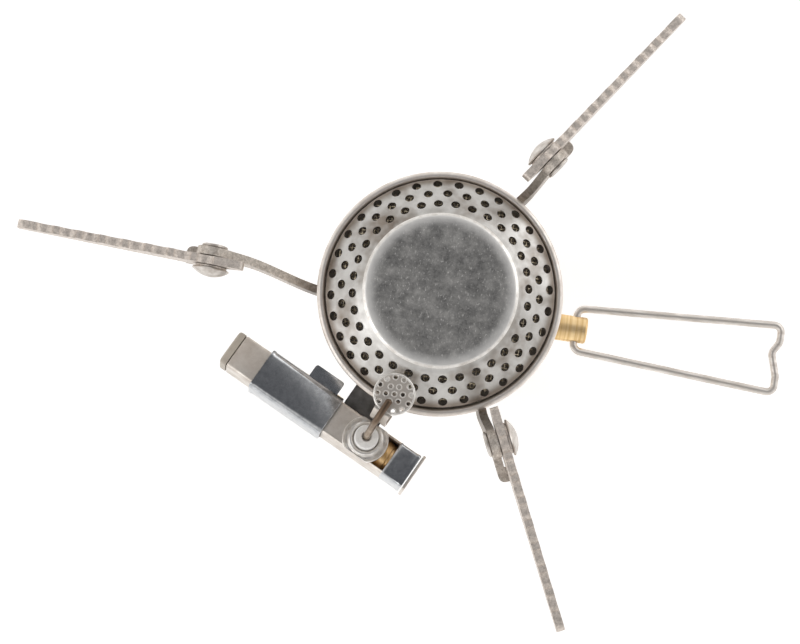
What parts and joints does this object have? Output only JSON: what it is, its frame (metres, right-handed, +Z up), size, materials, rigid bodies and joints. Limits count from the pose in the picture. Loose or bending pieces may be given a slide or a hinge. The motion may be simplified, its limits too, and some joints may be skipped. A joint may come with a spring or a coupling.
{
  "type": "camping stove",
  "caption": "Canister-top gas camping stove with a perforated burner head, folding serrated pot supports, a wire-handled control knob and a piezo igniter.",
  "frame": {"origin": "on the stove's axis, on the valve body's lower face that seats on the gas canister", "axes": "+Z up the stove's axis to the pot supports, +X along the valve spindle towards the wire handle"},
  "size_m": [0.195, 0.1514, 0.074],
  "materials": {
    "turned_brass": "turned, satin",
    "tumbled_steel": "tumbled, matt",
    "pressed_steel": "pressed sheet, satin",
    "polished_steel": "mirror-polished sheet steel",
    "dark_sheet_steel": "heat-darkened sheet",
    "steel_gauze": "woven gauze",
    "heat_tinted_wire": "heat-tinted wire",
    "white_ceramic": "unglazed, matt",
    "beige_plastic": "satin",
    "black_rubber": "matt"
  },
  "bodies": {
    "stove": {"valve_body": "turned_brass", "canister_seal": "black_rubber", "valve_pin": "polished_steel", "filter_disc": "steel_gauze", "gas_jet": "turned_brass", "gland_nut": "turned_brass", "spindle_seal": "black_rubber", "mixing_tube": "polished_steel", "support_hub": "tumbled_steel", "burner_cup": "pressed_steel", "cup_nut": "polished_steel", "burner_plate": "pressed_steel", "gauze_ring": "steel_gauze", "foot_rivet_igniter": "tumbled_steel", "igniter_stay": "dark_sheet_steel", "igniter_screw": "polished_steel", "igniter_housing": "pressed_steel", "igniter_cover": "polished_steel", "igniter_end_cap": "polished_steel", "piezo_cylinder": "turned_brass", "button_spring": "polished_steel", "ceramic_insulator": "white_ceramic", "insulator_collar": "polished_steel", "electrode_wire": "heat_tinted_wire", "spark_disc": "pressed_steel", "bracket_rear": "dark_sheet_steel", "blade_rivet_rear": "tumbled_steel", "spring_washer_rear": "tumbled_steel", "foot_rivet_rear": "tumbled_steel", "bracket_left": "dark_sheet_steel", "blade_rivet_left": "tumbled_steel", "spring_washer_left": "tumbled_steel", "foot_rivet_left": "tumbled_steel", "bracket_right": "dark_sheet_steel", "blade_rivet_right": "tumbled_steel", "spring_washer_right": "tumbled_steel", "foot_rivet_right": "tumbled_steel"},
    "support_rear": {"blade_rear": "tumbled_steel"},
    "support_left": {"blade_left": "tumbled_steel"},
    "support_right": {"blade_right": "tumbled_steel"},
    "control": {"valve_spindle": "polished_steel", "control_knob": "turned_brass"},
    "handle": {"handle_wire": "polished_steel"},
    "button": {"igniter_button": "beige_plastic", "button_sleeve": "pressed_steel"}
  },
  "joints": [
    {"name": "fold_rear", "type": "hinge", "parent": "stove", "child": "support_rear", "pos_m": [-0.05551, -0.00148, 0.069], "axis": [0.0419, 0.9991, 0], "range_deg": [0, 125]},
    {"name": "fold_left", "type": "hinge", "parent": "stove", "child": "support_left", "pos_m": [0.02077, 0.03567, 0.069], "axis": [0.8141, -0.5807, 0], "range_deg": [0, 125]},
    {"name": "fold_right", "type": "hinge", "parent": "stove", "child": "support_right", "pos_m": [0.0199, -0.03352, 0.069], "axis": [-0.9056, -0.4242, 0], "range_deg": [0, 125]},
    {"name": "control_turn", "type": "hinge", "parent": "stove", "child": "control", "pos_m": [0.03, 0, 0.016], "axis": [1, 0, 0], "range_deg": [0, 900]},
    {"name": "handle_swing", "type": "hinge", "parent": "control", "child": "handle", "pos_m": [0.0371, 0, 0.016], "axis": [0, -1, 0], "range_deg": [-90, 90]},
    {"name": "igniter_push", "type": "slide", "parent": "stove", "child": "button", "axis": [0.8973, -0.4415, 0], "range_m": [0, 0.002], "stiffness_N_per_m": 600, "deforming": ["button_spring"]}
  ]
}
